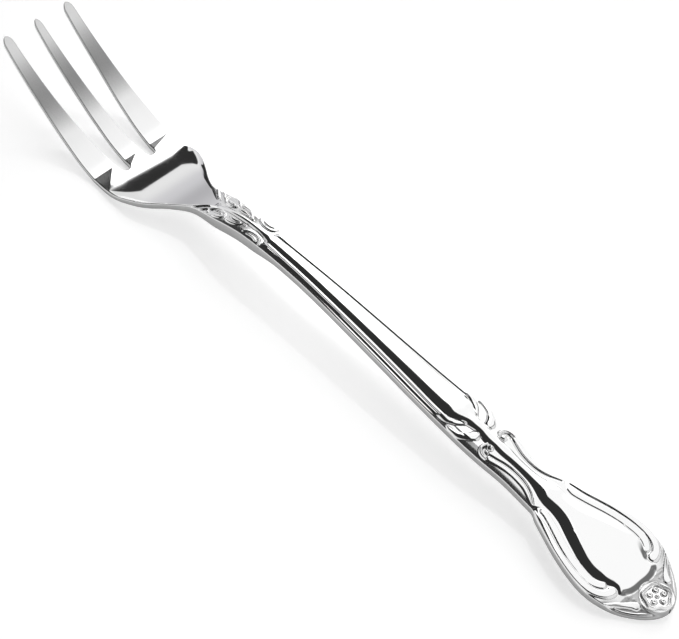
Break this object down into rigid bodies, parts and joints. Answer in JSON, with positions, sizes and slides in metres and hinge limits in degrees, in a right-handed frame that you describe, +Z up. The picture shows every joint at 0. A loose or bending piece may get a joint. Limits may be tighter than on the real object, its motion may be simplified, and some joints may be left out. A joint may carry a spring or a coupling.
{
  "type": "oyster fork",
  "caption": "Small stainless seafood fork with slender tines, an arched ribbed handle, scroll and leaf ornament and a drop-shaped end with a flower.",
  "frame": {"origin": "on the table, under the middle of the fork's bounding box", "axes": "+Y from the handle end to the tine tips, +X across the tines, +Z up from the table; the fork lies face up on its handle end and on the back of its head"},
  "size_m": [0.0168, 0.14, 0.0135],
  "materials": {
    "polished_steel": "mirror-polished stainless steel with fine hairline wear, satin in the struck grounds of the ornament"
  },
  "bodies": {
    "root": {"left_tine": "polished_steel", "middle_tine": "polished_steel", "right_tine": "polished_steel", "head": "polished_steel", "neck": "polished_steel", "shank": "polished_steel", "waist": "polished_steel", "handle_end": "polished_steel", "rosette": "polished_steel"}
  },
  "joints": []
}
